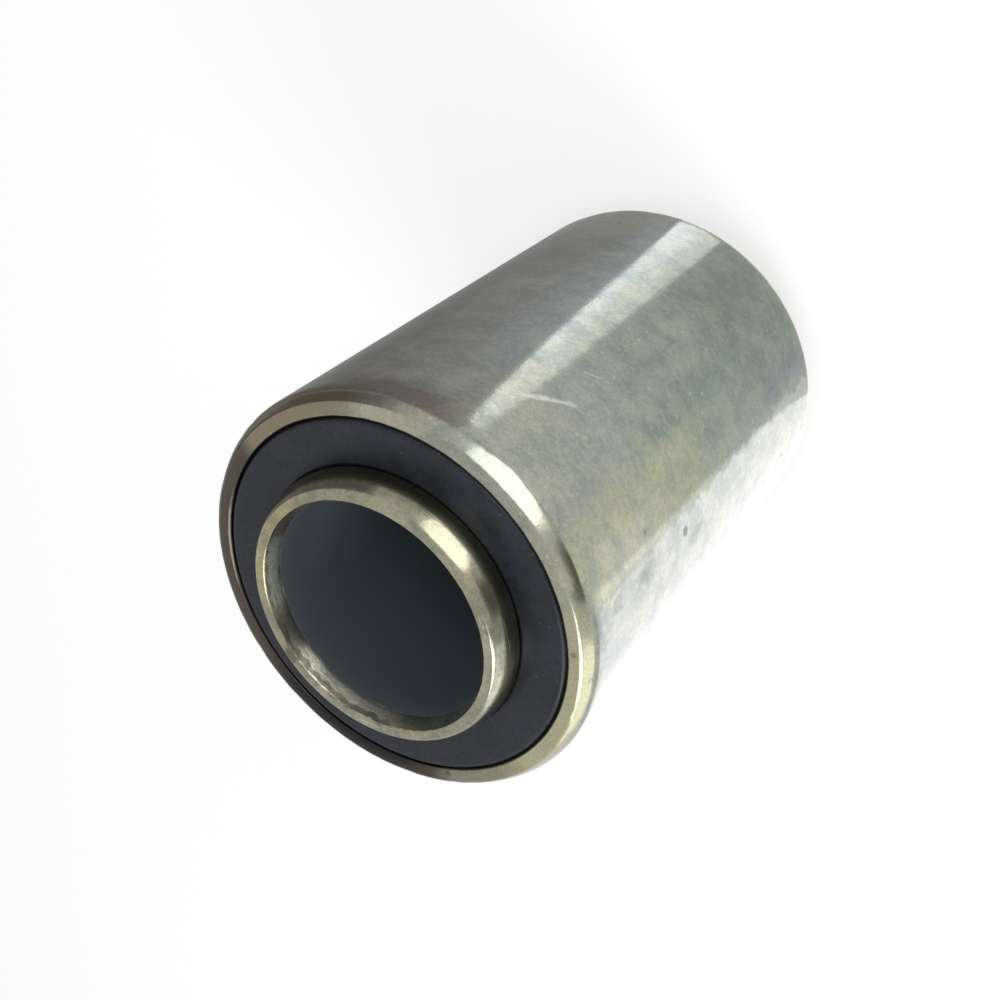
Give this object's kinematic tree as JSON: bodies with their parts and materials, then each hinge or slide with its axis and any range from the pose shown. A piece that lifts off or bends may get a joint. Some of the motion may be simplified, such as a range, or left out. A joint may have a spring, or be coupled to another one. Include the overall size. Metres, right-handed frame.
{
  "type": "rubber metal bush",
  "caption": "Bonded rubber bush with a plated steel outer sleeve for a press fit and a longer steel inner sleeve for a bolt, joined by a moulded rubber ring.",
  "frame": {"origin": "centre of the bore at mid-length", "axes": "+Z along the bore axis; the bush stands on the end of its inner sleeve; X and Y are interchangeable"},
  "size_m": [0.036, 0.036, 0.055],
  "materials": {
    "outer_sleeve_zinc": "zinc plated with a mottled greenish-yellow passivation, satin",
    "moulded_rubber": "satin, as moulded",
    "inner_sleeve_zinc": "zinc plated outside and at the turned mouths, dark unplated bore"
  },
  "bodies": {
    "root": {"outer_sleeve": "outer_sleeve_zinc", "rubber_body": "moulded_rubber", "inner_sleeve": "inner_sleeve_zinc"}
  },
  "joints": []
}
